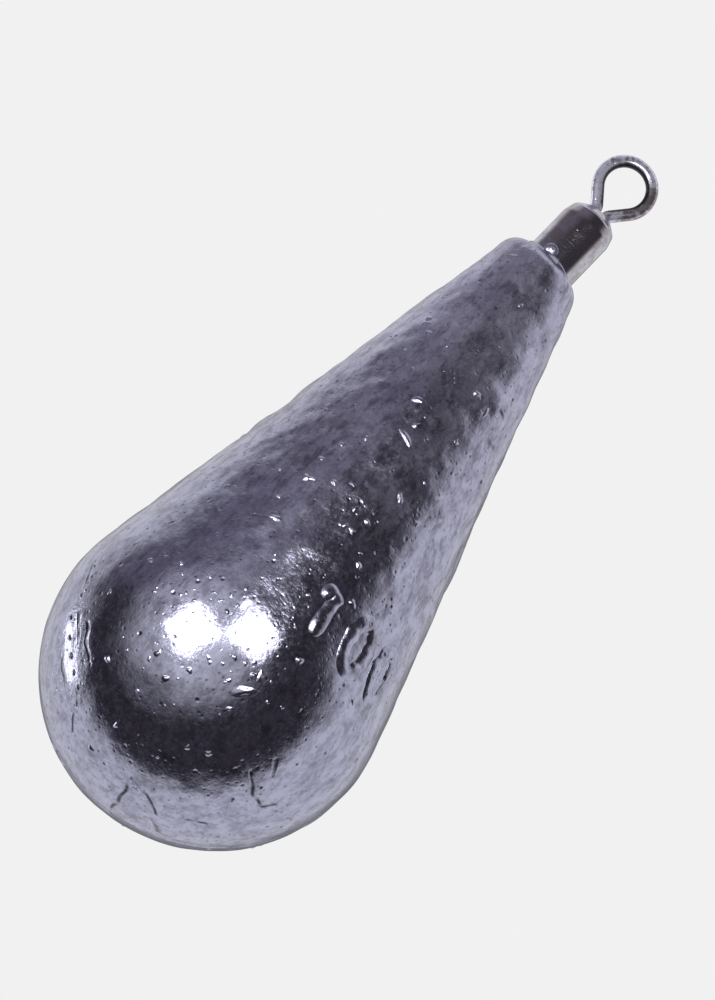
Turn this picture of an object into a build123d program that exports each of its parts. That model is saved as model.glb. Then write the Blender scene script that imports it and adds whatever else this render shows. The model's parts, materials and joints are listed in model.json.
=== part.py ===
from build123d import *

import os
from math import asin, atan2, cos, degrees, hypot, radians, sin, tan

# Pear-shaped fishing sinker: a cast lead body with a barrel swivel cast into its narrow end.
# It hangs from its line eye: the origin is the middle of that eye and +Z is up, along the lead's axis.
# Lengths are in millimetres and angles in degrees.

# Lead casting
BALL_DIAMETER = 22.0
LEAD_LENGTH = 45.2
TOP_DIAMETER = 5.5
SHOULDER_RADIUS = 1.2

# Swivel barrel, a brass tube drawn in at both ends
BARREL_DIAMETER = 3.65
BARREL_LENGTH = 6.0
BARREL_WALL = 0.4
BARREL_CAST_IN = 1.3
END_LENGTH = 1.25
END_ROUND = 0.35
MOUTH_RIM = 0.1

# Wire eyes, one for the line and one that anchors the swivel in the lead
WIRE_DIAMETER = 0.8
EYE_WIDTH = 4.25
LEG_GAP = 0.04
NECK_BEND = 0.2
NECK_STANDOFF = 0.05
HEAD_LENGTH = 0.65
HEAD_ROUND = 0.2
LEG_SPREAD = 39.0

# Fits
SWIVEL_CLEARANCE = 0.06
HEAD_CLEARANCE = 0.15

# The swivel was not quite straight in the mould
SWIVEL_LEAN = 5.0

# Shoulder of a drawn-in barrel end, as shares of the end's length and of the barrel's radius
shoulder_height_share = 0.6
shoulder_width_share = 0.89

# Lead body: the cone leaves the ball as a tangent, which sets its half angle
ball_radius = BALL_DIAMETER / 2
top_radius = TOP_DIAMETER / 2
top_height = LEAD_LENGTH - ball_radius
half_angle = asin(ball_radius / hypot(top_height, top_radius)) - atan2(top_radius, top_height)

# Swivel sizes that follow from the driving ones
barrel_radius = BARREL_DIAMETER / 2
barrel_half = BARREL_LENGTH / 2
wire_radius = WIRE_DIAMETER / 2
leg_offset = wire_radius + LEG_GAP / 2
mouth_radius = leg_offset + wire_radius + SWIVEL_CLEARANCE
cavity_radius = barrel_radius - BARREL_WALL
cavity_half = barrel_half - END_LENGTH
head_radius = cavity_radius - HEAD_CLEARANCE
head_top = cavity_half - HEAD_CLEARANCE

# Eye outline: a round bow on two straight sides that bend together at the neck
spread = radians(LEG_SPREAD)
bow_radius = EYE_WIDTH / 2 - wire_radius
neck_radius = wire_radius + NECK_BEND
neck_height = barrel_half + NECK_STANDOFF
side_start_x = leg_offset + neck_radius * (1 - cos(spread))
side_start_y = neck_height + neck_radius * sin(spread)
side_end_x = bow_radius * cos(spread)
side_end_y = side_start_y + (side_end_x - side_start_x) / tan(spread)
bow_height = side_end_y + bow_radius * sin(spread)

# Directions: the eyes lie in the XZ plane and face -Y, and the swivel leans towards +X
lean = radians(SWIVEL_LEAN)
upwards = Vector(0, 0, 1)
facing = Vector(0, -1, 0)
swivel_along = Vector(sin(lean), 0, cos(lean))
swivel_side = Vector(cos(lean), 0, -sin(lean))

# Places, down from the line eye: the anchor eye's bow is centred on the lead's axis
anchor_height = top_height - BARREL_CAST_IN - (bow_height - barrel_half)
swivel_centre = swivel_along * -bow_height
anchor_centre = swivel_centre - swivel_along * bow_height
ball_centre = anchor_centre - upwards * anchor_height
lead_plane = Plane(origin=ball_centre, x_dir=upwards.cross(facing), z_dir=facing)
line_plane = Plane(origin=swivel_centre, x_dir=swivel_side, z_dir=facing)
anchor_plane = Plane(origin=swivel_centre, x_dir=-swivel_side, z_dir=facing)
lead_axis = Axis(ball_centre, upwards)
swivel_axis = Axis(swivel_centre, swivel_along)


def barrel_envelope():
    """Outer form of the barrel with no bore: a cylinder whose ends are drawn in to the mouths."""
    shoulder_x = barrel_radius * shoulder_width_share
    shoulder_y = cavity_half + END_LENGTH * shoulder_height_share
    mouth_edge = mouth_radius + MOUTH_RIM
    with BuildPart() as envelope:
        with BuildSketch(line_plane) as half_section:
            with BuildLine():
                Polyline(
                    (0, 0),
                    (barrel_radius, 0),
                    (barrel_radius, cavity_half),
                    (shoulder_x, shoulder_y),
                    (mouth_edge, barrel_half),
                    (0, barrel_half),
                    (0, 0),
                )
            make_face()
            shoulder = half_section.vertices().sort_by_distance((shoulder_x, shoulder_y))[0]
            fillet(shoulder, radius=END_ROUND)
            mirror(about=Plane.XZ)
        revolve(axis=swivel_axis)
    return envelope.part


def wire_eye(plane):
    """Wire bent into a tear-shaped eye, with its two legs ending in one upset head."""
    with BuildPart() as eye:
        with BuildLine(plane) as wire:
            leg_in = Line((leg_offset, head_top - HEAD_LENGTH / 2), (leg_offset, neck_height))
            neck_in = JernArc(leg_in @ 1, leg_in % 1, neck_radius, -LEG_SPREAD)
            side_in = Line(neck_in @ 1, (side_end_x, side_end_y))
            bow = JernArc(side_in @ 1, side_in % 1, bow_radius, 180 + 2 * LEG_SPREAD)
            side_out = Line(bow @ 1, (-side_start_x, side_start_y))
            neck_out = JernArc(side_out @ 1, side_out % 1, neck_radius, -LEG_SPREAD)
            Line(neck_out @ 1, (-leg_offset, head_top - HEAD_LENGTH / 2))
        with BuildSketch(Plane(origin=leg_in @ 0, z_dir=leg_in % 0)):
            Circle(wire_radius)
        sweep(path=wire.wire())
        with BuildSketch(plane) as half_head:
            with Locations((0, head_top)):
                Rectangle(head_radius, HEAD_LENGTH, align=(Align.MIN, Align.MAX))
            fillet(half_head.vertices().group_by(Axis.X)[-1], radius=HEAD_ROUND)
        revolve(axis=swivel_axis)
    return eye.part


# Line eye, free to turn in the barrel
line_eye = wire_eye(line_plane)

# Anchor eye, held fast in the lead
anchor_eye = wire_eye(anchor_plane)

# Swivel barrel
with BuildPart() as swivel_barrel:
    add(barrel_envelope())
    with BuildSketch(line_plane) as half_cavity:
        with BuildLine():
            Polyline(
                (0, 0),
                (cavity_radius, 0),
                (cavity_radius, cavity_half),
                (mouth_radius, barrel_half - BARREL_WALL),
                (mouth_radius, barrel_half),
                (0, barrel_half),
                (0, 0),
            )
        make_face()
        mirror(about=Plane.XZ)
    revolve(axis=swivel_axis, mode=Mode.SUBTRACT)

# Lead body, cast round the anchor eye and the barrel's lower end
with BuildPart() as lead_body:
    with BuildSketch(lead_plane) as half_pear:
        with BuildLine():
            belly = CenterArc((0, 0), ball_radius, -90, 90 + degrees(half_angle))
            Polyline(belly @ 1, (top_radius, top_height), (0, top_height), belly @ 0)
        make_face()
        shoulder = half_pear.vertices().sort_by_distance((top_radius, top_height))[0]
        fillet(shoulder, radius=SHOULDER_RADIUS)
    revolve(axis=lead_axis)
    add(barrel_envelope(), mode=Mode.SUBTRACT)
    add(anchor_eye, mode=Mode.SUBTRACT)

os.makedirs("parts", exist_ok=True)
pieces = {
    "lead_body": lead_body.part,
    "swivel_barrel": swivel_barrel.part,
    "line_eye": line_eye,
    "anchor_eye": anchor_eye,
}
for name, piece in pieces.items():
    piece.label = name
    export_step(piece, f"parts/{name}.step")
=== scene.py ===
import json
from math import asin, atan2, cos, hypot, pi, radians, sin, sqrt, tan

import bpy
import numpy as np
from mathutils import Matrix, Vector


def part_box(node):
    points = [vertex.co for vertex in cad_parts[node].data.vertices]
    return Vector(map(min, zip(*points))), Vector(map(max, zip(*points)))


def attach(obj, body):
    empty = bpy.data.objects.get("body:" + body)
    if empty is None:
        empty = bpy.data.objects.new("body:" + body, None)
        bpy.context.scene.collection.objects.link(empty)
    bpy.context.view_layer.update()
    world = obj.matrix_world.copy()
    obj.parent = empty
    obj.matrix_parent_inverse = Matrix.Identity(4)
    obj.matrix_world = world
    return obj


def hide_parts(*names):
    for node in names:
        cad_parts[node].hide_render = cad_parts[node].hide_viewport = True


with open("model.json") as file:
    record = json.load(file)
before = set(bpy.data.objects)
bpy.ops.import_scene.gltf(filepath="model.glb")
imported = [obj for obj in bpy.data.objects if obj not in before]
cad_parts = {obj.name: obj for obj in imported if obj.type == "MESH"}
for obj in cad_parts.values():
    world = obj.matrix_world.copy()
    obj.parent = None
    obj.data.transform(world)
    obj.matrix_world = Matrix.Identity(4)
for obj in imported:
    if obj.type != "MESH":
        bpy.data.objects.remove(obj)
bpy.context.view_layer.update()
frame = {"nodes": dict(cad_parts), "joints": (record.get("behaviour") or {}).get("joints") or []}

# Lengths below are in millimetres unless a name says otherwise
MM = 0.001

# Lead casting
SHOULDER_RADIUS = 1.2
SHOULDER_END = radians(72.0)
TOP_RADIUS = 2.75

# Swivel
BARREL_RADIUS = 1.825
BARREL_HALF = 3.0
BARREL_WALL = 0.4
BARREL_CAST_IN = 1.3
SIDE_ROUND = 0.5
END_LENGTH = 1.25
END_ROUND = 0.35
END_WIDTH_SHARE = 0.89
END_RISE_SHARE = 0.6
MOUTH_RADIUS = 0.88
MOUTH_RIM = 0.1
MOUTH_ROUND = 0.04
WIRE_RADIUS = 0.4
LEG_OFFSET = 0.42
BOW_RADIUS = 1.725
NECK_RADIUS = 0.6
NECK_STANDOFF = 0.05
LEG_SPREAD = radians(39.0)
HEAD_RADIUS = 1.275
HEAD_TOP = 1.6
HEAD_LENGTH = 0.65
HEAD_ROUND = 0.2

# The photograph: its frame, where the ball's centre lies in it, and how the lead's axis lies to the picture
PHOTO_WIDTH, PHOTO_HEIGHT = 715, 1000
BALL_PIXEL_X, BALL_PIXEL_Y = 214.8, 674.8
MM_PER_PIXEL = 0.0624
AXIS_ANGLE = radians(51.24)
AXIS_TILT = radians(15.2)
CAMERA_DISTANCE = 1500.0
SENSOR = 36.0
CLIP_NEAR, CLIP_FAR = 10.0, 10000.0

# Places from the frame
JOINT = frame["joints"][0]
swivel_centre = np.array(JOINT["pos_m"]) / MM
swivel_along = np.array(JOINT["axis"])
upright = np.array((0.0, 0.0, 1.0))
facing = np.array((0.0, -1.0, 0.0))
sideways = np.array((1.0, 0.0, 0.0))
swivel_side = np.cross(swivel_along, facing)
lead_low, lead_high = (np.array(corner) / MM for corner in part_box("lead_body"))
ball_radius = (lead_high[0] - lead_low[0]) / 2
ball_centre = np.array(((lead_low[0] + lead_high[0]) / 2, 0.0, lead_low[2] + ball_radius))
top_height = lead_high[2] - ball_centre[2]
half_angle = asin(ball_radius / hypot(top_height, TOP_RADIUS)) - atan2(TOP_RADIUS, top_height)

# The camera's own directions, rolled so that the lead's axis slants across the picture
to_camera = np.array((0.0, -cos(AXIS_TILT), -sin(AXIS_TILT)))
axis_up = np.array((0.0, -sin(AXIS_TILT), cos(AXIS_TILT)))
picture_right = cos(AXIS_ANGLE) * axis_up + sin(AXIS_ANGLE) * sideways
picture_up = sin(AXIS_ANGLE) * axis_up - cos(AXIS_ANGLE) * sideways


def unit(vector):
    """Vectors of the same direction with a length of 1."""
    return vector / np.linalg.norm(vector, axis=-1, keepdims=True)


def towards(off_camera, clock):
    """Unit direction that many degrees off the line to the camera, to the side that a clock angle in the
    picture gives, in degrees from the picture's right, turning towards its top."""
    off, turn = radians(off_camera), radians(clock)
    side = cos(turn) * picture_right + sin(turn) * picture_up
    return cos(off) * to_camera + sin(off) * side


# Meshes

WAVE_STRETCH = (0.7, 1.4)
NO_TRIANGLES = np.zeros((0, 3), int)


def smoothstep(low, high, value):
    """0 on low's side, 1 on high's, and a cubic ramp between."""
    t = np.clip((value - low) / (high - low), 0, 1)
    return t * t * (3 - 2 * t)


def ripple(points, wavelength, waves, seed):
    """Smooth random field of about unit size: a sum of cosine waves, each with its own direction and phase
    and a length near the one given."""
    rng = np.random.default_rng(seed)
    heading = unit(rng.normal(size=(waves, 3)))
    stretch = rng.uniform(*WAVE_STRETCH, size=waves)
    phase = rng.uniform(0, 2 * pi, size=waves)
    angle = points @ (heading * (2 * pi / (wavelength * stretch))[:, None]).T + phase
    return np.cos(angle).sum(axis=-1) * sqrt(2 / waves)


def sweep_faces(rows, columns, closed_rows=False):
    """Quads of a grid whose columns run round in a ring, and whose rows may too."""
    last = rows if closed_rows else rows - 1
    i, j = np.meshgrid(np.arange(last), np.arange(columns), indexing="ij")
    below, above = i * columns, (i + 1) % rows * columns
    right = (j + 1) % columns
    return np.stack((below + j, below + right, above + right, above + j), axis=-1).reshape(-1, 4)


def hoop(grid):
    """Closed shell of a grid whose rows and columns both run round in rings."""
    return grid.reshape(-1, 3), sweep_faces(*grid.shape[:2], closed_rows=True), NO_TRIANGLES


def tube(grid):
    """Closed shell of a grid of rings: quads along it, and a fan on a middle point at each end."""
    rows, columns = grid.shape[:2]
    points = np.concatenate((grid.reshape(-1, 3), grid[:1].mean(axis=1), grid[-1:].mean(axis=1)))
    ring = np.arange(columns)
    after = (ring + 1) % columns
    last = (rows - 1) * columns
    first_fan = np.stack((after, ring, np.full(columns, rows * columns)), axis=-1)
    last_fan = np.stack((last + ring, last + after, np.full(columns, rows * columns + 1)), axis=-1)
    return points, sweep_faces(rows, columns), np.concatenate((first_fan, last_fan))


def make_piece(name, shells, body, slot, material, node=None, **attributes):
    """One mesh object from shells of (points, quads, triangles), riding on a body. Each attribute holds one
    number for every point."""
    points, quads, triangles, count = [], [], [], 0
    for shell_points, shell_quads, shell_triangles in shells:
        points.append(shell_points)
        quads.append(shell_quads + count)
        triangles.append(shell_triangles + count)
        count += len(shell_points)
    points, quads, triangles = (np.concatenate(part) for part in (points, quads, triangles))
    corners = np.concatenate((quads.ravel(), triangles.ravel())).astype(np.int32)
    starts = np.concatenate((np.arange(len(quads)) * 4, len(quads) * 4 + np.arange(len(triangles)) * 3))
    mesh = bpy.data.meshes.new(name)
    mesh.vertices.add(count)
    mesh.vertices.foreach_set("co", (points * MM).astype(np.float32).ravel())
    mesh.loops.add(len(corners))
    mesh.loops.foreach_set("vertex_index", corners)
    mesh.polygons.add(len(starts))
    mesh.polygons.foreach_set("loop_start", starts.astype(np.int32))
    mesh.update(calc_edges=True)
    mesh.validate()
    mesh.shade_smooth()
    for key, values in attributes.items():
        mesh.attributes.new(key, "FLOAT", "POINT").data.foreach_set("value", values.astype(np.float32))
    mesh.materials.append(material)
    piece = bpy.data.objects.new(name, mesh)
    bpy.context.scene.collection.objects.link(piece)
    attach(piece, body)
    if node:
        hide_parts(node)


def arc(centre, radius, start, end, step):
    """Points and outward normals along a circular arc in a plane, from one angle to another in radians."""
    angle = np.linspace(start, end, max(2, int(abs(end - start) * radius / step) + 1))
    normal = np.stack((np.cos(angle), np.sin(angle)), axis=-1)
    return np.array(centre) + radius * normal, normal


# Lead body. Places on it are angles round its axis, from the front towards +X, and heights above the
# ball's centre

LEAD_COLUMNS = 400
LEAD_STEP = 0.235
TOP_SLANT = 0.22
SLANT_LENGTH = 4.0
FADE_LENGTH = 3.0
FADE_SHARE = 0.7
SPREAD_LOW_SHARE = 0.97
SPREAD_HIGH_SHARE = 0.93

# Waves of the skin: size all over, further size up the cone, wavelength, number of waves, seed
SKIN_WAVES = (
    (0.02, 0.0, 13.0, 24, 3),
    (0.012, 0.0, 5.0, 32, 5),
    (0.0, 0.024, 3.2, 40, 9),
    (0.007, 0.009, 2.1, 48, 7),
    (0.0025, 0.006, 1.0, 48, 11),
)
CONE_WAVES_FROM, CONE_WAVES_FULL = 3.0, 15.0

DENTS = 130
DENT_SEED = 17
DENT_RADII = (0.4, 1.3)
DENT_DEPTH_SHARES = (0.010, 0.040)
DENT_FALLOFF = 2.5
SEAM_WIDTH = 0.16
SEAM_HEIGHT = 0.03
SEAM_UNEVEN = 0.6
SEAM_WAVE = 4.0

# Lip round the barrel: radius, height and unevenness of each ring, in from the shoulder and down the socket
LIP_RADIUS = 2.02
LIP_HEIGHT = 0.16
LIP_WAVE = 1.2
SOCKET_RADIUS = BARREL_RADIUS - 0.03
LIP_RINGS = (
    (LIP_RADIUS + 0.10, -0.05, 0.03),
    (LIP_RADIUS, LIP_HEIGHT * 0.7, 0.05),
    (LIP_RADIUS - 0.08, LIP_HEIGHT, 0.05),
    (BARREL_RADIUS + 0.03, LIP_HEIGHT * 0.75, 0.05),
    (SOCKET_RADIUS, 0.0, 0.02),
    (SOCKET_RADIUS, -BARREL_CAST_IN, 0.0),
)

# Folds in the skin where the lead set: start and end of each, in degrees and millimetres
FOLDS = (
    ((1, -9.8), (150, -10.98)),
    ((3, -9.75), (15.7, -9.9)),
    ((15.7, -9.9), (38.4, -10.2)),
    ((47.9, -10.4), (72.4, -10.4)),
    ((35.3, -5.4), (45.6, -6.1)),
    ((45.6, -6.1), (51.6, -6.1)),
    ((53.8, -6.1), (56.5, -5.4)),
    ((49.6, -9.4), (53.8, -8.8)),
    ((-68.2, -0.2), (-64.3, -2.1)),
    ((-60.5, -3.7), (-54.2, -5.2)),
    ((-53.6, -4.0), (-46.2, -6.0)),
    ((-63.8, -6.2), (-60.1, -7.6)),
    ((-50.0, -7.7), (-50.2, -8.3)),
    ((-52.9, -8.7), (-56.2, -9.4)),
    ((44.6, 21.8), (53.3, 21.9)),
    ((41.8, 23.8), (47.8, 23.6)),
)
FOLD_HEIGHT = 0.02
FOLD_WIDTH = 0.25
FOLD_REACH = 0.7
FOLD_FULL_SHARE = 0.6
FOLD_DEPTH = 1.0
FOLD_END_IN, FOLD_END_OUT = 0.05, 0.25
FOLD_WOBBLE = 0.07
FOLD_WOBBLE_WAVE = 1.5
FOLD_MEAN, FOLD_UNEVEN, FOLD_LEAST = 0.75, 0.35, 0.2
FOLD_UNEVEN_WAVE = 0.9

# Short weaker folds over the rest of the lead; the girth that turns a length into an angle is a rough one
FREE_FOLDS = 12
FREE_FOLD_SEED = 41
FREE_FOLD_SHARE = 0.45
FREE_FOLD_LENGTHS = (0.8, 2.2)
FREE_FOLD_RISE_SHARE = 0.8
GIRTH_LEAST = 3.0
GIRTH_LOSS_SHARE = 0.25


def lead_place(around, height):
    """Point and outward normal of the plain pear: a ball up to the circle where the cone leaves it, then the
    cone."""
    around, height = np.broadcast_arrays(np.asarray(around, float), np.asarray(height, float))
    on_ball = height < ball_radius * sin(half_angle)
    ball = np.sqrt(np.maximum(ball_radius**2 - height**2, 0))
    radius = np.where(on_ball, ball, (ball_radius - height * sin(half_angle)) / cos(half_angle))
    rise = np.where(on_ball, height / ball_radius, sin(half_angle))[..., None]
    radial = np.sin(around)[..., None] * sideways + np.cos(around)[..., None] * facing
    point = ball_centre + radius[..., None] * radial + height[..., None] * upright
    return point, np.sqrt(1 - rise**2) * radial + rise * upright


def random_places(count, rng):
    """Angles and heights spread over the whole lead."""
    low, high = -SPREAD_LOW_SHARE * ball_radius, SPREAD_HIGH_SHARE * top_height
    return rng.uniform(-pi, pi, count), rng.uniform(low, high, count)


def fold_ends():
    """Start and end of each fold on the lead, with its strength: those at their places, then free ones."""
    rng = np.random.default_rng(FREE_FOLD_SEED)
    folds = [([(radians(turn), height) for turn, height in fold], 1.0) for fold in FOLDS]
    for around, height in zip(*random_places(FREE_FOLDS, rng)):
        turn, length = rng.uniform(0, 2 * pi), rng.uniform(*FREE_FOLD_LENGTHS)
        swing = length * cos(turn) / max(GIRTH_LEAST, ball_radius - abs(height) * GIRTH_LOSS_SHARE)
        end = (around + swing, height + length * sin(turn) * FREE_FOLD_RISE_SHARE)
        folds.append(([(around, height), end], FREE_FOLD_SHARE))
    return folds


def fold_lines(points):
    """Signed distance from each point to the nearest fold, and how fully that fold is there. A fold runs
    along the plane through its two ends and the surface's normal between them, with a small wobble. It is
    stronger and weaker along its run, and fades out beyond its ends."""
    gap, share = np.full(len(points), FOLD_REACH), np.zeros(len(points))
    wobble = FOLD_WOBBLE * ripple(points, FOLD_WOBBLE_WAVE, waves=24, seed=43)
    uneven = FOLD_MEAN + FOLD_UNEVEN * ripple(points, FOLD_UNEVEN_WAVE, waves=32, seed=47)
    uneven = np.clip(uneven, FOLD_LEAST, 1)
    for (first, last), strength in fold_ends():
        (start, start_normal), (end, end_normal) = lead_place(*first), lead_place(*last)
        middle, half = (start + end) / 2, np.linalg.norm(end - start) / 2
        along, normal = unit(end - start), unit(start_normal + end_normal)
        offset = points - middle
        beside = offset @ unit(np.cross(normal, along)) + wobble
        in_run = smoothstep(half + FOLD_END_OUT, half - FOLD_END_IN, np.abs(offset @ along))
        in_reach = smoothstep(FOLD_REACH, FOLD_FULL_SHARE * FOLD_REACH, np.abs(beside))
        in_depth = np.abs(offset @ normal) < half + FOLD_DEPTH
        present = strength * uneven * in_run * in_reach * in_depth
        nearer = present * (FOLD_REACH - np.abs(beside)) > share * (FOLD_REACH - np.abs(gap))
        gap, share = np.where(nearer, beside, gap), np.where(nearer, present, share)
    return gap, share


def lead_relief(points):
    """How far the surface stands in or out: waves of several lengths, from those of an uneven mould to a
    hammered ripple that is stronger up the cone, round dents, the thin seam where the two halves of the mould
    met, and a low step at each fold."""
    height = points[:, 2] - ball_centre[2]
    cone = smoothstep(CONE_WAVES_FROM, CONE_WAVES_FULL, height)
    relief = np.zeros(len(points))
    for size, more_up_cone, wavelength, waves, seed in SKIN_WAVES:
        relief += (size + more_up_cone * cone) * ripple(points, wavelength, waves, seed)
    rng = np.random.default_rng(DENT_SEED)
    for centre in lead_place(*random_places(DENTS, rng))[0]:
        radius = rng.uniform(*DENT_RADII)
        depth = rng.uniform(*DENT_DEPTH_SHARES) * radius
        reach = np.linalg.norm(points - centre, axis=1) / radius
        relief -= depth * np.exp(-DENT_FALLOFF * reach * reach)
    seam = SEAM_HEIGHT * np.exp(-((points[:, 1] / SEAM_WIDTH) ** 2))
    relief += seam * (1 + SEAM_UNEVEN * ripple(points, SEAM_WAVE, waves=16, seed=29))
    gap, share = fold_lines(points)
    return relief + FOLD_HEIGHT * np.tanh(gap / FOLD_WIDTH) * share


def lead_outline():
    """Half outline of the pear, from its foot up: a ball's arc, the cone's straight side, which leaves the
    ball as a tangent, and the rounded shoulder. Gives radius and height pairs with their normals."""
    ball, ball_normal = arc((0, 0), ball_radius, -pi / 2 + LEAD_STEP / ball_radius, half_angle, LEAD_STEP)
    shoulder_height = top_height - SHOULDER_RADIUS
    shoulder_x = (ball_radius - SHOULDER_RADIUS - shoulder_height * sin(half_angle)) / cos(half_angle)
    shoulder, shoulder_normal = arc(
        (shoulder_x, shoulder_height), SHOULDER_RADIUS, half_angle, SHOULDER_END, LEAD_STEP / 2
    )
    count = int(np.linalg.norm(shoulder[0] - ball[-1]) / LEAD_STEP)
    share = np.linspace(0, 1, count + 2)[1:-1, None]
    cone = ball[-1] + share * (shoulder[0] - ball[-1])
    cone_normal = np.repeat(shoulder_normal[:1], count, axis=0)
    outline = np.concatenate((ball, cone, shoulder))
    return outline, np.concatenate((ball_normal, cone_normal, shoulder_normal))


def lead_shell():
    """Pear of revolution about the lead's axis: each point of the half outline goes round in a ring, moved
    along its normal by the relief. Over the shoulder the rings go over to the swivel's leaning axis, rise to
    a small lip and follow the barrel's wall down to the bottom of its socket."""
    outline, normal = lead_outline()
    around = np.arange(LEAD_COLUMNS) * (2 * pi / LEAD_COLUMNS)
    radial = np.sin(around)[:, None] * sideways + np.cos(around)[:, None] * facing
    rings = ball_centre + outline[:, :1, None] * radial + outline[:, 1:, None] * upright
    outward = normal[:, :1, None] * radial + normal[:, 1:, None] * upright
    relief = lead_relief(rings.reshape(-1, 3)).reshape(rings.shape[:2])
    fade = 1 - FADE_SHARE * smoothstep(top_height - FADE_LENGTH, top_height, outline[:, 1])
    rings = rings + (relief * fade[:, None])[..., None] * outward
    slanted = smoothstep(top_height - SLANT_LENGTH, top_height, outline[:, 1])
    slant = -TOP_SLANT * np.sin(around) * slanted[:, None]
    rings = rings + slant[..., None] * upright

    foot = swivel_centre - BARREL_HALF * swivel_along
    leaning = np.sin(around)[:, None] * swivel_side + np.cos(around)[:, None] * facing
    uneven = ripple(leaning, LIP_WAVE, waves=12, seed=23)
    lip = []
    for radius, height, wobble in LIP_RINGS:
        level = BARREL_CAST_IN + height + wobble * uneven - TOP_SLANT * np.sin(around)
        lip.append(foot + radius * leaning + level[:, None] * swivel_along)
    return tube(np.concatenate((rings, np.array(lip))))


# Marks raised on the lead

BEAD_SEED = 71
BEAD_SIDES = 20
BEAD_RINGS = 17
BEAD_RISE_SHARE = 0.34
BEAD_POWER = 4
OVAL_SHARE = 0.16
THREE_LOBES_SHARE = 0.12
STROKE_SIDES = 24
STROKE_STEP = 0.09
STROKE_POWER = 2
STROKE_TIP_SHARE = 0.02
STROKE_UNEVEN = 0.1
STROKE_WAVE = 0.9
BOWL_DEPTH = 0.1
SWELL_SINK = 0.008

# Round beads in degrees and millimetres, with their radius
BEADS = (
    (-37.4, -5.5, 0.27),
    (-44.0, 1.1, 0.24),
    (-50.0, -1.9, 0.21),
    (-20.5, -3.8, 0.24),
    (-12.9, -4.7, 0.27),
    (-7.6, -3.5, 0.24),
    (1.5, -1.2, 0.20),
    (19.1, 1.4, 0.30),
    (10.1, -6.9, 0.24),
    (17.8, -6.4, 0.27),
    (23.9, 6.8, 0.34),
    (19.1, 23.4, 0.30),
    (-47.0, 25.7, 0.32),
    (-22.6, 11.5, 0.30),
    (-12.0, 12.3, 0.27),
    (29.7, 13.9, 0.30),
    (58.8, 19.6, 0.26),
    (-38.0, -9.75, 0.30),
    (-64.0, -2.6, 0.24),
    (-64.5, -4.1, 0.24),
    (-61.2, -5.2, 0.26),
    (-57.6, -6.1, 0.26),
    (-53.6, -6.9, 0.24),
    (-49.8, -7.5, 0.22),
    (-17.1, 1.4, 0.17),
    (-13.6, 1.2, 0.20),
    (-12.2, 1.9, 0.18),
    (-9.8, 0.8, 0.22),
    (-8.4, 1.6, 0.17),
)

# Long nicks with a raised edge: start and end in degrees and millimetres, and half their width
NICKS = (
    ((-5.5, 18.1), (7.2, 17.5), 0.30),
    ((-12.7, 20.2), (-3.3, 20.6), 0.24),
    ((8.0, -3.0), (13.6, -1.9), 0.42),
    ((12.7, -1.5), (11.2, -0.7), 0.26),
    ((-41.0, 32.3), (-29.0, 32.7), 0.17),
)

# Small beads over the whole lead
FREE_BEADS = 46
FREE_BEAD_RADII = (0.12, 0.28)
FREE_BEAD_STRETCH = (1.0, 2.2)

# Small beads on the ball's front: middle and spread of their angles and heights
FRONT_BEADS = 44
FRONT_TURN = (radians(-8.0), radians(20.0))
FRONT_HEIGHT = (-1.5, 3.2)
FRONT_BEAD_RADII = (0.09, 0.17)
FRONT_BEAD_STRETCH = (1.0, 1.5)

# Small beads up the cone's front: middle and spread of their angles, least and most height
CONE_BEADS = 26
CONE_TURN = (radians(-6.0), radians(26.0))
CONE_HEIGHTS = (7.0, 25.0)
CONE_BEAD_RADII = (0.12, 0.22)
CONE_BEAD_STRETCH = (1.0, 1.8)

# Drop of lead at the barrel's foot: its place round and up the barrel, and the way that it faces in degrees
DROP_TURN = radians(-18.0)
DROP_LEVEL = 1.7
DROP_RADIUS = 0.48
DROP_RISE = 0.2
DROP_FACES = (4, 45)

FIGURES = "100"
FIGURE_TURN = radians(36.0)
FIGURE_LEVEL = 5.0
FIGURE_HEIGHT = 3.5
FIGURE_WIDTH = 1.9
FIGURE_PITCH = 3.3
FIGURE_STROKE = 0.55
FIGURE_RISE = 0.16
FIGURE_SIDES = 72
FLAG_LENGTH_SHARE = 0.28
FLAG_WEIGHT_SHARE = 0.9


def on_skin(around, height):
    """Point and normal on the lead as cast, with its relief."""
    point, normal = lead_place(around, height)
    relief = lead_relief(point.reshape(-1, 3)).reshape(point.shape[:-1])
    return point + relief[..., None] * normal, normal


def swell_height(upper, rise, power):
    """Height of a low swelling over the skin, for the cosine of the angle from its top: it rises as a power
    of it, the higher the smoother it runs out, and a shallow bowl closes it below."""
    return np.where(upper > 0, rise * np.abs(upper) ** power, -BOWL_DEPTH * upper**2) - SWELL_SINK


def swelling(centre, normal, along, length, width, rise, phase):
    """Low swelling over an uneven oval with half axes along and across."""
    polar = np.linspace(pi, 0, BEAD_RINGS + 2)[1:-1]
    turn = np.arange(BEAD_SIDES) * (2 * pi / BEAD_SIDES)
    uneven = 1 + OVAL_SHARE * np.cos(2 * turn + phase) + THREE_LOBES_SHARE * np.cos(3 * turn + 2 * phase)
    far = (uneven * np.cos(turn))[:, None] * along
    near = (uneven * np.sin(turn))[:, None] * np.cross(normal, along)
    high = swell_height(np.cos(polar), rise, BEAD_POWER)[:, None, None] * normal
    return tube(centre + np.sin(polar)[:, None, None] * (length * far + width * near) + high)


def drawn_bead(around, height, radii, stretch, rng):
    """Row of a bead at a place: half its length and half its width, and its heading, drawn at random."""
    radius = rng.uniform(*radii)
    return around, height, radius * rng.uniform(*stretch), radius, rng.uniform(0, pi)


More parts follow.
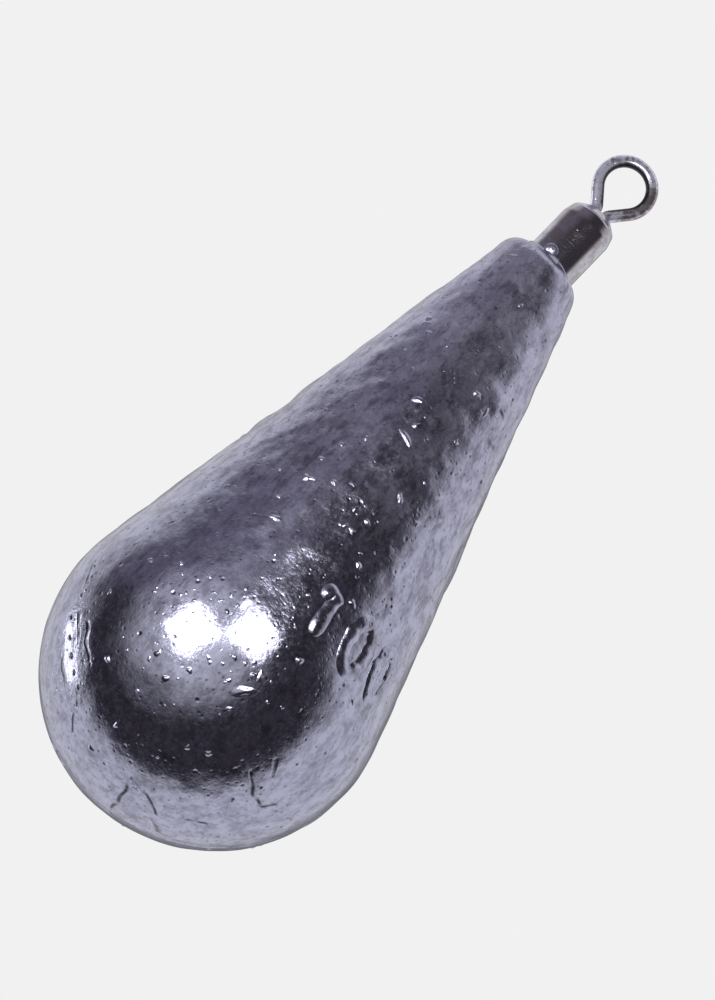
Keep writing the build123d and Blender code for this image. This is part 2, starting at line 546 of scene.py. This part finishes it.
def bead_rows(rng):
    """Place, half length, half width and heading of each bead and nick: those at their places, the small ones
    over the whole lead, and those on the ball's front and up the cone's."""
    rows = []
    for turn, height, radius in BEADS:
        rows.append((radians(turn), height, radius, radius, 0.0))
    for (turn, height), (last_turn, last_height), width in NICKS:
        start, end = lead_place(radians(turn), height)[0], lead_place(radians(last_turn), last_height)[0]
        run = hypot(*(end - start)[:2]) * (1 if last_turn > turn else -1)
        middle = radians((turn + last_turn) / 2), (height + last_height) / 2
        rows.append((*middle, np.linalg.norm(end - start) / 2, width, atan2(end[2] - start[2], run)))
    for around, height in zip(*random_places(FREE_BEADS, rng)):
        rows.append(drawn_bead(around, height, FREE_BEAD_RADII, FREE_BEAD_STRETCH, rng))
    for _ in range(FRONT_BEADS):
        around, height = rng.normal(*FRONT_TURN), rng.normal(*FRONT_HEIGHT)
        rows.append(drawn_bead(around, height, FRONT_BEAD_RADII, FRONT_BEAD_STRETCH, rng))
    for _ in range(CONE_BEADS):
        around, height = rng.normal(*CONE_TURN), rng.uniform(*CONE_HEIGHTS)
        rows.append(drawn_bead(around, height, CONE_BEAD_RADII, CONE_BEAD_STRETCH, rng))
    return rows


def beads():
    """A low swelling on the skin for each bead and nick, its length laid along its heading."""
    rng = np.random.default_rng(BEAD_SEED)
    shells = []
    for around, height, length, width, heading in bead_rows(rng):
        centre, normal = on_skin(around, height)
        level = unit(np.cross(upright, normal))
        along = cos(heading) * level + sin(heading) * np.cross(normal, level)
        rise = BEAD_RISE_SHARE * width
        shells.append(swelling(centre, normal, along, length, width, rise, rng.uniform(0, 2 * pi)))
    return shells


def lip_drop():
    """Drop of lead that ran up the barrel's foot: a flattened ball that faces the camera's side."""
    foot_side = sin(DROP_TURN) * swivel_side + cos(DROP_TURN) * facing
    centre = swivel_centre + (DROP_LEVEL - BARREL_HALF) * swivel_along + BARREL_RADIUS * foot_side
    out = towards(*DROP_FACES)
    level = unit(np.cross(swivel_along, out))
    polar = np.linspace(pi, 0, BEAD_RINGS + 2)[1:-1, None, None]
    turn = np.arange(BEAD_SIDES)[:, None] * (2 * pi / BEAD_SIDES)
    ring = np.cos(turn) * level + np.sin(turn) * np.cross(out, level)
    return tube(centre + DROP_RADIUS * np.sin(polar) * ring + DROP_RISE * np.cos(polar) * out)


def raised_stroke(around, height, width, rise, closed=False):
    """Ridge along a path on the lead: a low swelling's section carried along it, a little uneven as cast. An
    open ridge rounds off at its ends."""
    middle, normal = on_skin(around, height)
    swell = 1 + STROKE_UNEVEN * ripple(middle, STROKE_WAVE, waves=16, seed=83)
    if closed:
        along = unit(np.roll(middle, -1, axis=0) - np.roll(middle, 1, axis=0))
    else:
        along = unit(np.gradient(middle, axis=0))
        run = np.concatenate(([0], np.cumsum(np.linalg.norm(np.diff(middle, axis=0), axis=1))))
        to_end = np.clip(np.minimum(run, run[-1] - run) / width, STROKE_TIP_SHARE, 1)
        swell = swell * np.sqrt(1 - (1 - to_end) ** 2)
    across = np.cross(normal, along)
    turn = np.arange(STROKE_SIDES) * (2 * pi / STROKE_SIDES)
    flat = (swell * width)[:, None, None] * np.cos(turn)[:, None] * across[:, None]
    high = swell_height(np.sin(turn), rise * swell[:, None], STROKE_POWER)[..., None] * normal[:, None]
    grid = middle[:, None] + flat + high
    return hoop(grid) if closed else tube(grid)


def raised_figures():
    """A plain weight figure in raised strokes: an upright bar with a short flag for each 1, and an oval for
    each 0."""
    shells = []
    girth = (ball_radius - FIGURE_LEVEL * sin(half_angle)) / cos(half_angle)
    for place, figure in enumerate(FIGURES):
        middle = FIGURE_TURN + (place - (len(FIGURES) - 1) / 2) * FIGURE_PITCH / girth
        if figure == "0":
            turn = np.arange(FIGURE_SIDES) * (2 * pi / FIGURE_SIDES)
            around = middle + FIGURE_WIDTH / 2 * np.cos(turn) / girth
            height = FIGURE_LEVEL + FIGURE_HEIGHT / 2 * np.sin(turn)
            shells.append(raised_stroke(around, height, FIGURE_STROKE, FIGURE_RISE, closed=True))
        else:
            bar = np.linspace(-0.5, 0.5, int(FIGURE_HEIGHT / STROKE_STEP))
            height = FIGURE_LEVEL + FIGURE_HEIGHT * bar
            shells.append(raised_stroke(np.full(len(bar), middle), height, FIGURE_STROKE, FIGURE_RISE))
            flag = np.linspace(0, FLAG_LENGTH_SHARE, int(FIGURE_HEIGHT * FLAG_LENGTH_SHARE / STROKE_STEP))
            around = middle - FIGURE_HEIGHT * flag / girth
            height = FIGURE_LEVEL + FIGURE_HEIGHT * (0.5 - flag)
            width, rise = FIGURE_STROKE * FLAG_WEIGHT_SHARE, FIGURE_RISE * FLAG_WEIGHT_SHARE
            shells.append(raised_stroke(around, height, width, rise))
    return shells


# Swivel barrel

BARREL_COLUMNS = 160
BARREL_STEP = 0.05
CORNER_POINTS = 9


def rounded_path(points, radii, step):
    """Open path of straight runs with an arc of the given radius at each inner corner, as evenly spaced
    points."""
    points = [np.array(p, float) for p in points]
    laid = [points[0]]
    for before, corner, after, radius in zip(points, points[1:], points[2:], radii):
        back, ahead = unit(before - corner), unit(after - corner)
        half = np.arccos(np.clip(back @ ahead, -1, 1)) / 2
        middle = unit(back + ahead)
        centre = corner + middle * radius / sin(half)
        across = unit(ahead - back)
        angles = np.linspace(-(pi / 2 - half), pi / 2 - half, CORNER_POINTS)
        laid.extend(centre - radius * np.cos(a) * middle + radius * np.sin(a) * across for a in angles)
    laid = np.array([*laid, points[-1]])
    lengths = np.concatenate(([0], np.cumsum(np.linalg.norm(np.diff(laid, axis=0), axis=1))))
    even = np.linspace(0, lengths[-1], int(lengths[-1] / step) + 1)
    return np.stack([np.interp(even, lengths, laid[:, k]) for k in range(2)], axis=-1)


def turned(outline, columns):
    """Rings of a half outline of radius and height about the swivel's axis."""
    around = np.arange(columns) * (2 * pi / columns)
    leaning = np.sin(around)[:, None] * swivel_side + np.cos(around)[:, None] * facing
    return swivel_centre + outline[:, :1, None] * leaning + outline[:, 1:, None] * swivel_along


def barrel_shell():
    """Tube turned about the swivel's axis: the outside from mouth to mouth, and back through the hollow."""
    hollow = BARREL_HALF - END_LENGTH
    end_radius, end_height = BARREL_RADIUS * END_WIDTH_SHARE, hollow + END_LENGTH * END_RISE_SHARE
    edge = MOUTH_RADIUS + MOUTH_RIM
    outside = rounded_path(
        (
            (MOUTH_RADIUS, -BARREL_HALF),
            (edge, -BARREL_HALF),
            (end_radius, -end_height),
            (BARREL_RADIUS, -hollow),
            (BARREL_RADIUS, hollow),
            (end_radius, end_height),
            (edge, BARREL_HALF),
            (MOUTH_RADIUS, BARREL_HALF),
        ),
        (MOUTH_ROUND, END_ROUND, SIDE_ROUND, SIDE_ROUND, END_ROUND, MOUTH_ROUND),
        BARREL_STEP,
    )
    inside = np.array(
        (
            (MOUTH_RADIUS, BARREL_HALF - BARREL_WALL),
            (BARREL_RADIUS - BARREL_WALL, hollow),
            (BARREL_RADIUS - BARREL_WALL, -hollow),
            (MOUTH_RADIUS, BARREL_WALL - BARREL_HALF),
        )
    )
    return hoop(turned(np.concatenate((outside, inside)), BARREL_COLUMNS))


# Line eye

WIRE_SIDES = 40
WIRE_STEP = 0.06
# Painted shade on the eye's inner side starts beyond the barrel's end and is full this far further up
INNER_SHADE_START = 0.5


def eye_path():
    """Middle line of the wire in the swivel's own plane: a leg, a bend out at the neck, a straight side, the
    round bow, and the same back down the other side. Gives points and the normals that lie in the plane."""
    neck_height = BARREL_HALF + NECK_STANDOFF
    neck_x = LEG_OFFSET + NECK_RADIUS
    neck, neck_out = arc((neck_x, neck_height), NECK_RADIUS, pi, pi - LEG_SPREAD, WIRE_STEP)
    side_x = BOW_RADIUS * cos(LEG_SPREAD)
    side_y = neck[-1][1] + (side_x - neck[-1][0]) / tan(LEG_SPREAD)
    bow_y = side_y + BOW_RADIUS * sin(LEG_SPREAD)
    bow, bow_out = arc((0, bow_y), BOW_RADIUS, -LEG_SPREAD, pi / 2, WIRE_STEP)
    leg_foot = np.array((LEG_OFFSET, HEAD_TOP - HEAD_LENGTH / 2))

    def straight(start, end, out):
        count = int(np.linalg.norm(end - start) / WIRE_STEP)
        share = np.linspace(0, 1, count + 2)[1:-1, None]
        return start + share * (end - start), np.repeat(out[None], count, axis=0)

    leg, leg_out = straight(leg_foot, neck[0], np.array((1.0, 0.0)))
    side, side_out = straight(neck[-1], bow[0], bow_out[0])
    half = np.concatenate((leg_foot[None], leg, neck, side, bow))
    half_out = np.concatenate((leg_out[:1], leg_out, -neck_out, side_out, bow_out))
    mirror = np.array((-1.0, 1.0))
    path = np.concatenate((half, half[-2::-1] * mirror))
    return path, np.concatenate((half_out, half_out[-2::-1] * mirror))


def eye_shells():
    """Round wire carried along the eye's middle line, and the upset head on its legs, turned about the
    swivel's axis. Also gives how far each point looks into the eye: 1 on the inner side of the wire, 0 on its
    outer."""
    path, out = eye_path()
    middle = swivel_centre + path[:, :1] * swivel_side + path[:, 1:] * swivel_along
    outward = out[:, :1] * swivel_side + out[:, 1:] * swivel_along
    around = np.arange(WIRE_SIDES) * (2 * pi / WIRE_SIDES)
    ring = np.cos(around)[:, None, None] * outward - np.sin(around)[:, None, None] * facing
    wire_shell = tube(middle[:, None] + WIRE_RADIUS * ring.transpose(1, 0, 2))
    head = rounded_path(
        (
            (WIRE_RADIUS, HEAD_TOP - HEAD_LENGTH),
            (HEAD_RADIUS, HEAD_TOP - HEAD_LENGTH),
            (HEAD_RADIUS, HEAD_TOP),
            (WIRE_RADIUS, HEAD_TOP),
        ),
        (HEAD_ROUND, HEAD_ROUND),
        WIRE_STEP,
    )
    head_shell = tube(turned(head, BARREL_COLUMNS // 2))
    # Painted shade: how far each point looks into the eye, which the wire's material turns into a darker,
    # rougher inner side
    in_eye = smoothstep(BARREL_HALF, BARREL_HALF + INNER_SHADE_START, path[:, 1])
    inner = (in_eye[:, None] * np.clip(-np.cos(around), 0, 1)).ravel()
    spare = len(wire_shell[0]) - len(inner) + len(head_shell[0])
    return [wire_shell, head_shell], np.concatenate((inner, np.zeros(spare)))


# Materials

class Wiring:
    """Adds nodes to one tree, with sockets or plain values as their inputs."""

    def __init__(self, tree):
        self.tree = tree

    def feed(self, made, key, value):
        if isinstance(value, bpy.types.NodeSocket):
            self.tree.links.new(value, made.inputs[key])
        else:
            made.inputs[key].default_value = value

    def node(self, kind, inputs=None, **settings):
        made = self.tree.nodes.new(kind)
        for key, value in settings.items():
            setattr(made, key, value)
        for key, value in (inputs or {}).items():
            self.feed(made, key, value)
        return made

    def math(self, operation, first, second=0.0):
        return self.node("ShaderNodeMath", {0: first, 1: second}, operation=operation).outputs[0]

    def plus(self, first, second):
        return self.math("ADD", first, second)

    def times(self, first, second):
        return self.math("MULTIPLY", first, second)

    def most(self, first, second):
        return self.math("MAXIMUM", first, second)

    def ramp(self, value, low, high, start=0.0, end=1.0):
        """Smooth step of a value between low and high, from start to end."""
        inputs = {"Value": value, "From Min": low, "From Max": high, "To Min": start, "To Max": end}
        return self.node("ShaderNodeMapRange", inputs, interpolation_type="SMOOTHSTEP").outputs["Result"]

    def between(self, mask, start, end):
        """Value that goes smoothly from start to end as a mask goes from 0 to 1."""
        return self.ramp(mask, 0.0, 1.0, start, end)

    def mix(self, share, first, second):
        """Colour between two colours."""
        made = self.node("ShaderNodeMix", data_type="RGBA")
        for key, value in ((0, share), (6, first), (7, second)):
            self.feed(made, key, (*value, 1.0) if isinstance(value, tuple) else value)
        return made.outputs[2]

    def dot(self, first, second):
        inputs = {0: first, 1: tuple(second)}
        return self.node("ShaderNodeVectorMath", inputs, operation="DOT_PRODUCT").outputs["Value"]

    def noise(self, place, scale, detail=2.0, roughness=0.5):
        inputs = {"Vector": place, "Scale": scale, "Detail": detail, "Roughness": roughness}
        return self.node("ShaderNodeTexNoise", inputs).outputs["Fac"]

    def attribute(self, name):
        return self.node("ShaderNodeAttribute", attribute_name=name).outputs["Fac"]

    def bump(self, height, strength, depth, invert=False):
        """Normal of a surface with a height of its own, which is the given depth in millimetres."""
        inputs = {"Strength": strength, "Distance": depth * MM, "Height": height}
        return self.node("ShaderNodeBump", inputs, invert=invert).outputs["Normal"]

    def use(self, group, **inputs):
        """First output of a group placed with its own values."""
        made = self.node("ShaderNodeGroup", node_tree=group)
        for key, value in inputs.items():
            self.feed(made, key, value)
        return made.outputs[0]


def millimetres(wiring):
    """Object coordinates in millimetres."""
    place = wiring.node("ShaderNodeTexCoord").outputs["Object"]
    per_metre = 1 / MM
    return wiring.node("ShaderNodeMapping", {"Vector": place, "Scale": (per_metre,) * 3}).outputs["Vector"]


def new_group(name, inputs, outputs):
    """Empty shader node group with float inputs, apart from a vector called Place, and float outputs."""
    group = bpy.data.node_groups.new(name, "ShaderNodeTree")
    for key in inputs:
        kind = "NodeSocketVector" if key == "Place" else "NodeSocketFloat"
        group.interface.new_socket(name=key, in_out="INPUT", socket_type=kind)
    for key in outputs:
        group.interface.new_socket(name=key, in_out="OUTPUT", socket_type="NodeSocketFloat")
    wiring = Wiring(group)
    return group, wiring, wiring.node("NodeGroupInput").outputs, wiring.node("NodeGroupOutput")


COARSE_SHARE, FINE_SHARE = 0.72, 0.28
FINE_TIMES = 3.7


def mottle_group():
    """Cloudy patches: two sizes of noise, cut to a soft mask between Low and High."""
    group, wiring, given, result = new_group("mottle", ("Place", "Scale", "Low", "High"), ("Mask",))
    coarse = wiring.noise(given["Place"], given["Scale"], detail=3.0, roughness=0.6)
    fine = wiring.noise(given["Place"], wiring.times(given["Scale"], FINE_TIMES))
    both = wiring.plus(wiring.times(coarse, COARSE_SHARE), wiring.times(fine, FINE_SHARE))
    group.links.new(wiring.ramp(both, given["Low"], given["High"]), result.inputs["Mask"])
    return group


def pits_group():
    """Small round pits: cells whose own random value is under Share hold a dimple of the given Radius in cell
    sizes, deepest in its middle."""
    group, wiring, given, result = new_group("pits", ("Place", "Scale", "Share", "Radius"), ("Depth",))
    inputs = {"Vector": given["Place"], "Scale": given["Scale"], "Randomness": 1.0}
    cells = wiring.node("ShaderNodeTexVoronoi", inputs, feature="F1")
    chosen = wiring.node("ShaderNodeSeparateColor", {"Color": cells.outputs["Color"]}).outputs["Red"]
    holds = wiring.math("LESS_THAN", chosen, given["Share"])
    reach = wiring.math("DIVIDE", cells.outputs["Distance"], given["Radius"])
    group.links.new(wiring.times(wiring.ramp(reach, 1.0, 0.0), holds), result.inputs["Depth"])
    return group


MOTTLE = mottle_group()
PITS = pits_group()


def new_material(name):
    """Material with a Principled BSDF, its wiring and that shader."""
    material = bpy.data.materials.new(name)
    material.use_nodes = True
    wiring = Wiring(material.node_tree)
    return material, wiring, material.node_tree.nodes["Principled BSDF"]


LEAD_BRIGHT = (0.51, 0.515, 0.67)
LEAD_STAIN = (0.16, 0.15, 0.20)
LEAD_OXIDE = (0.38, 0.35, 0.48)
LEAD_PIT = (0.05, 0.045, 0.065)
LEAD_BUMP = 0.06
FOLD_LINE = 0.2
FOLD_CORE = 0.03
STREAK = (1.0, 1.0, 0.4)
FLECK_SHARE = 0.36
STAIN_SHARE = 0.75
PIT_SHARE = 0.7
SPECK_SHARE = 0.62

# Oxide on the cone and film at its top: heights above the ball's centre where they start and are full
OXIDE_FROM, OXIDE_FULL = 3.0, 17.0
OXIDE_LEAST = 0.1
FILM_FROM, FILM_FULL = 13.0, 28.0
FILM_MOST = 0.34


def lead_material():
    """Cast lead: bright metal with darker stains and streaks along its length, clouded by a dull pale oxide
    that lies thickest up the cone, with pits of two sizes, the dark lines of the folds and a fine grain."""
    material, wiring, shader = new_material("cast_lead")
    place = millimetres(wiring)
    drawn = wiring.node("ShaderNodeMapping", {"Vector": place, "Scale": STREAK}).outputs["Vector"]
    level = wiring.dot(place, upright)
    middle = ball_centre[2]
    up_cone = wiring.ramp(level, middle + OXIDE_FROM, middle + OXIDE_FULL, OXIDE_LEAST, 1.0)
    clouds = wiring.use(MOTTLE, Place=place, Scale=0.35, Low=0.38, High=0.62)
    flecks = wiring.use(MOTTLE, Place=place, Scale=1.1, Low=0.46, High=0.82)
    stains = wiring.use(MOTTLE, Place=place, Scale=0.7, Low=0.44, High=0.70)
    streaks = wiring.use(MOTTLE, Place=drawn, Scale=1.6, Low=0.40, High=0.68)
    pits = wiring.use(PITS, Place=place, Scale=1.1, Share=0.36, Radius=0.22)
    specks = wiring.use(PITS, Place=place, Scale=2.4, Share=0.42, Radius=0.34)
    grain = wiring.noise(place, 3.6, detail=3.0, roughness=0.6)
    near_fold = wiring.math("ABSOLUTE", wiring.attribute("fold_gap"))
    fold = wiring.times(wiring.ramp(near_fold, FOLD_LINE, FOLD_CORE), wiring.attribute("fold_share"))

    film = wiring.between(clouds, 0.11, 0.22)
    oxide = wiring.times(wiring.most(wiring.times(flecks, FLECK_SHARE), film), up_cone)
    top_film = wiring.ramp(level, middle + FILM_FROM, middle + FILM_FULL, 0.0, FILM_MOST)
    oxide = wiring.most(oxide, wiring.times(top_film, wiring.between(clouds, 0.6, 1.0)))
    streak_share = wiring.ramp(up_cone, 0.1, 0.8, 0.6, 0.9)
    dark = wiring.most(wiring.times(stains, STAIN_SHARE), wiring.times(streaks, streak_share))
    metal = wiring.mix(oxide, wiring.mix(dark, LEAD_BRIGHT, LEAD_STAIN), LEAD_OXIDE)
    hollows = wiring.most(wiring.times(pits, PIT_SHARE), wiring.times(specks, SPECK_SHARE))
    hollows = wiring.most(hollows, fold)
    wiring.feed(shader, "Base Color", wiring.mix(hollows, metal, LEAD_PIT))
    wiring.feed(shader, "Metallic", wiring.between(oxide, 1.0, 0.45))
    dulled, grainy = wiring.ramp(oxide, 0.0, 0.5, 0.11, 0.30), wiring.ramp(grain, 0.35, 0.7, 0.0, 0.10)
    wiring.feed(shader, "Roughness", wiring.plus(dulled, grainy))
    depth = wiring.plus(pits, wiring.plus(wiring.times(specks, 0.35), wiring.times(fold, 1.2)))
    height = wiring.math("SUBTRACT", wiring.times(grain, 0.4), depth)
    wiring.feed(shader, "Normal", wiring.bump(height, 0.6, LEAD_BUMP))
    return material


BARREL_BRIGHT = (0.61, 0.59, 0.66)
BARREL_DARK = (0.43, 0.39, 0.42)
BARREL_BUMP = 0.03


def barrel_material():
    """Plated brass, darkened in patches, with fine rings from turning."""
    material, wiring, shader = new_material("barrel_plating")
    place = millimetres(wiring)
    tarnish = wiring.use(MOTTLE, Place=place, Scale=0.9, Low=0.40, High=0.62)
    pits = wiring.use(PITS, Place=place, Scale=3.0, Share=0.08, Radius=0.3)
    along = wiring.dot(place, swivel_along)
    inputs = {"W": along, "Scale": 6.0, "Detail": 3.0, "Roughness": 0.7}
    rings = wiring.node("ShaderNodeTexNoise", inputs, noise_dimensions="1D").outputs["Fac"]
    colour = wiring.mix(tarnish, BARREL_BRIGHT, BARREL_DARK)
    wiring.feed(shader, "Base Color", wiring.mix(wiring.times(pits, PIT_SHARE), colour, LEAD_PIT))
    shader.inputs["Metallic"].default_value = 1.0
    wiring.feed(shader, "Roughness", wiring.between(tarnish, 0.12, 0.20))
    height = wiring.math("SUBTRACT", wiring.times(rings, 0.5), pits)
    wiring.feed(shader, "Normal", wiring.bump(height, 0.5, BARREL_BUMP))
    return material


WIRE_BRIGHT = (0.64, 0.64, 0.78)
WIRE_DULL = (0.30, 0.26, 0.28)
# Dark colour of the wire's pits, and of the painted shade on the inner side of the eye
WIRE_PIT_AND_SHADE = (0.035, 0.03, 0.034)
WIRE_BUMP = 0.03
BROWNER_FULL = 1.8
TARNISH_LOW, TARNISH_HIGH = 0.46, 0.66


def wire_material():
    """Bright drawn steel wire, dulled in patches and browner on one side, with painted shade on the inner
    side of the eye: darker colour and more roughness there."""
    material, wiring, shader = new_material("drawn_wire")
    place = millimetres(wiring)
    browner = wiring.ramp(wiring.dot(place, swivel_side), 0.0, BROWNER_FULL, 0.0, 0.14)
    low = wiring.math("SUBTRACT", TARNISH_LOW, browner)
    high = wiring.math("SUBTRACT", TARNISH_HIGH, browner)
    tarnish = wiring.use(MOTTLE, Place=place, Scale=1.0, Low=low, High=high)
    pits = wiring.use(PITS, Place=place, Scale=4.0, Share=0.2, Radius=0.3)
    # Painted shade: the inner side of the eye's wire is darkened in its colour and made rougher
    painted_shade = wiring.ramp(wiring.attribute("inner_side"), 0.3, 0.7)
    colour = wiring.mix(tarnish, WIRE_BRIGHT, WIRE_DULL)
    colour = wiring.mix(wiring.times(pits, 0.6), colour, WIRE_PIT_AND_SHADE)
    wiring.feed(shader, "Base Color", wiring.mix(painted_shade, colour, WIRE_PIT_AND_SHADE))
    wiring.feed(shader, "Metallic", wiring.between(tarnish, 0.7, 0.9))
    rough = wiring.plus(wiring.between(tarnish, 0.12, 0.24), wiring.times(painted_shade, 0.2))
    wiring.feed(shader, "Roughness", rough)
    wiring.feed(shader, "Normal", wiring.bump(pits, 0.4, WIRE_BUMP, invert=True))
    return material


lead = lead_material()
plating = barrel_material()
wire = wire_material()
casting = lead_shell()
gap, share = fold_lines(casting[0])
folds = {"fold_gap": gap, "fold_share": share}
make_piece("lead_casting", [casting], "weight", "cast_lead", lead, "lead_body", **folds)
make_piece("lead_beads", [*beads(), lip_drop()], "weight", "cast_lead", lead)
make_piece("weight_figures", raised_figures(), "weight", "cast_lead", lead)
make_piece("barrel", [barrel_shell()], "weight", "barrel_brass", plating, "swivel_barrel")
eye, inner_side = eye_shells()
make_piece("eye_wire", eye, "eye", "wire_steel", wire, "line_eye", inner_side=inner_side)
anchor = frame["nodes"]["anchor_eye"]
anchor.data.materials.clear()
anchor.data.materials.append(wire)

# Camera

camera_data = bpy.data.cameras.new("camera")
camera_data.sensor_width = SENSOR
camera_data.lens = SENSOR * CAMERA_DISTANCE / (PHOTO_HEIGHT * MM_PER_PIXEL)
camera_data.clip_start, camera_data.clip_end = CLIP_NEAR * MM, CLIP_FAR * MM
aim = ball_centre + MM_PER_PIXEL * (
    (PHOTO_WIDTH / 2 - BALL_PIXEL_X) * picture_right + (BALL_PIXEL_Y - PHOTO_HEIGHT / 2) * picture_up
)
camera = bpy.data.objects.new("camera", camera_data)
camera_turn = Matrix(np.stack((picture_right, picture_up, to_camera), axis=-1).tolist())
camera.matrix_world = Matrix.Translation((aim + CAMERA_DISTANCE * to_camera) * MM) @ camera_turn.to_4x4()
bpy.context.scene.collection.objects.link(camera)
bpy.context.scene.camera = camera

# Studio: a pale surround, with a dim room on the camera's side that only shows in reflections

PALE = (0.88, 0.88, 0.88)
WALL = (0.76, 0.76, 0.77)
ROOM = (0.042, 0.036, 0.044)
HAZE = (0.17, 0.155, 0.195)
WINDOW = (3.6, 3.6, 3.6)
SHADE = (0.2, 0.2, 0.22)

# Regions of the studio: direction as towards() takes it, half width and softness of the edge, in degrees
ROOM_REGION = (12, 130), 90, 8
LEFT_REGION = (80, 128), 35, 14
RIGHT_REGION = (60, -5), 26, 11
HAZE_REGION = (95, 92), 36, 20
SHADE_REGION = (172, 275), 16, 14

# Window: directions of its two ends, half its width with and without its soft edge, half length and softness
WINDOW_TOP, WINDOW_FOOT = (119.0, 154.8), (104.5, 184.4)
WINDOW_OUTER, WINDOW_INNER = 4.2, 3.2
WINDOW_LENGTH = 14, 1


def cap(wiring, direction, centre, half_width, softness):
    """1 within a cone of directions about a centre, 0 outside, with a soft edge; angles are in degrees."""
    low, high = cos(radians(half_width + softness)), cos(radians(half_width - softness))
    return wiring.ramp(wiring.dot(direction, centre), low, high)


def studio_world():
    """Pale light from all round. Reflections see a studio instead: a dim room on the camera's side, hazy
    higher up, pale walls behind it with a soft shade in their middle, and a narrow window on the left."""
    world = bpy.data.worlds.new("studio")
    world.use_nodes = True
    wiring = Wiring(world.node_tree)
    direction = wiring.node("ShaderNodeTexCoord").outputs["Generated"]

    def region(place, half_width, softness):
        return cap(wiring, direction, towards(*place), half_width, softness)

    near_side = wiring.most(region(*ROOM_REGION), wiring.most(region(*LEFT_REGION), region(*RIGHT_REGION)))
    dim = wiring.mix(region(*HAZE_REGION), ROOM, HAZE)
    walls = wiring.mix(region(*SHADE_REGION), WALL, SHADE)
    top, foot = towards(*WINDOW_TOP), towards(*WINDOW_FOOT)
    beside = wiring.math("ABSOLUTE", wiring.dot(direction, unit(np.cross(top, foot))))
    across = wiring.ramp(beside, sin(radians(WINDOW_OUTER)), sin(radians(WINDOW_INNER)))
    pane = wiring.times(cap(wiring, direction, unit(top + foot), *WINDOW_LENGTH), across)
    seen = wiring.mix(pane, wiring.mix(near_side, walls, dim), WINDOW)
    glossy = wiring.node("ShaderNodeLightPath").outputs["Is Glossy Ray"]
    wiring.feed(world.node_tree.nodes["Background"], "Color", wiring.mix(glossy, PALE, seen))
    bpy.context.scene.world = world


FLOOR_GAP = 2.0
FLOOR_HALF = 3000.0
FLOOR_DARKER, FLOOR_LIGHTER = (0.80, 0.80, 0.80), (0.82, 0.82, 0.82)


def pale_floor():
    """Level pale floor just below the hanging sinker, seen from above only: the camera looks up from below
    it."""
    corners = np.array(((-1, -1, 0), (1, -1, 0), (1, 1, 0), (-1, 1, 0))) * FLOOR_HALF
    level = np.array((0, 0, lead_low[2] - FLOOR_GAP))
    mesh = bpy.data.meshes.new("floor")
    mesh.from_pydata(((corners + level) * MM).tolist(), [], [(0, 1, 2, 3)])
    material, wiring, shader = new_material("pale_floor")
    cloud = wiring.noise(millimetres(wiring), 0.02)
    wiring.feed(shader, "Base Color", wiring.mix(cloud, FLOOR_DARKER, FLOOR_LIGHTER))
    shader.inputs["Roughness"].default_value = 0.9
    from_below = wiring.node("ShaderNodeNewGeometry").outputs["Backfacing"]
    clear = wiring.node("ShaderNodeBsdfTransparent").outputs["BSDF"]
    one_way = wiring.node("ShaderNodeMixShader", {0: from_below, 1: shader.outputs["BSDF"], 2: clear})
    wiring.feed(material.node_tree.nodes["Material Output"], "Surface", one_way.outputs["Shader"])
    mesh.materials.append(material)
    floor = bpy.data.objects.new("floor", mesh)
    floor.visible_glossy = False
    floor.visible_shadow = False
    bpy.context.scene.collection.objects.link(floor)
    return floor


# Lamps: where each stands as towards() takes it, and how far from the ball's centre
LEFT_LAMP, RIGHT_LAMP = (32.5, 117), (36.5, 50)
LAMP_DISTANCE = 70.0
LAMP_WIDTH = 30.0
LAMP_RADIANCE = 5.0
LAMP_ROLL = radians(40.0)
LAMP_SPREAD = radians(170.0)
DIFFUSER = (27, 116)
DIFFUSER_DISTANCE = 36.0
DIFFUSER_SPACING = 0.5
DIFFUSER_WIDTHS = (46.0, 60.0, 74.0, 88.0)
DIFFUSER_RADIANCE = 0.22
DIFFUSER_SPREAD = radians(120.0)


def lamp(name, shape, width, radiance, spread, distance, place, left_out):
    """Lamp that faces the ball from its place, rolled on its corner. A grid before it narrows its light to
    the spread, and the radiance is that straight ahead. What is left out gets none of its light."""
    data = bpy.data.lights.new(name, "AREA")
    data.shape = shape
    data.size = width * MM
    area = (width * MM) ** 2 * (1 if shape == "SQUARE" else pi / 4)
    data.spread = spread
    data.energy = radiance * pi * area * (1 - spread / 2 / tan(spread / 2))
    made = bpy.data.objects.new(name, data)
    direction = towards(*place)
    level = unit(np.cross(picture_up, direction))
    across = cos(LAMP_ROLL) * level + sin(LAMP_ROLL) * np.cross(direction, level)
    turn = Matrix(np.stack((across, np.cross(direction, across), direction), axis=-1).tolist())
    made.matrix_world = Matrix.Translation((ball_centre + distance * direction) * MM) @ turn.to_4x4()
    made.visible_camera = False
    made.light_linking.receiver_collection = left_out
    bpy.context.scene.collection.objects.link(made)


def studio_lamps(floor):
    """Two bright lamps, and a stack of dim discs of growing width that gives their soft halo. None of them
    lights the floor."""
    left_out = bpy.data.collections.new("left_out_of_lamps")
    left_out.objects.link(floor)
    left_out.collection_objects[0].light_linking.link_state = "EXCLUDE"
    for name, place in (("left_lamp", LEFT_LAMP), ("right_lamp", RIGHT_LAMP)):
        lamp(name, "SQUARE", LAMP_WIDTH, LAMP_RADIANCE, LAMP_SPREAD, LAMP_DISTANCE, place, left_out)
    for layer, width in enumerate(DIFFUSER_WIDTHS):
        name, distance = f"diffuser_{layer}", DIFFUSER_DISTANCE + layer * DIFFUSER_SPACING
        lamp(name, "DISK", width, DIFFUSER_RADIANCE, DIFFUSER_SPREAD, distance, DIFFUSER, left_out)


studio_world()
studio_lamps(pale_floor())
bpy.context.scene.view_settings.view_transform = "Standard"
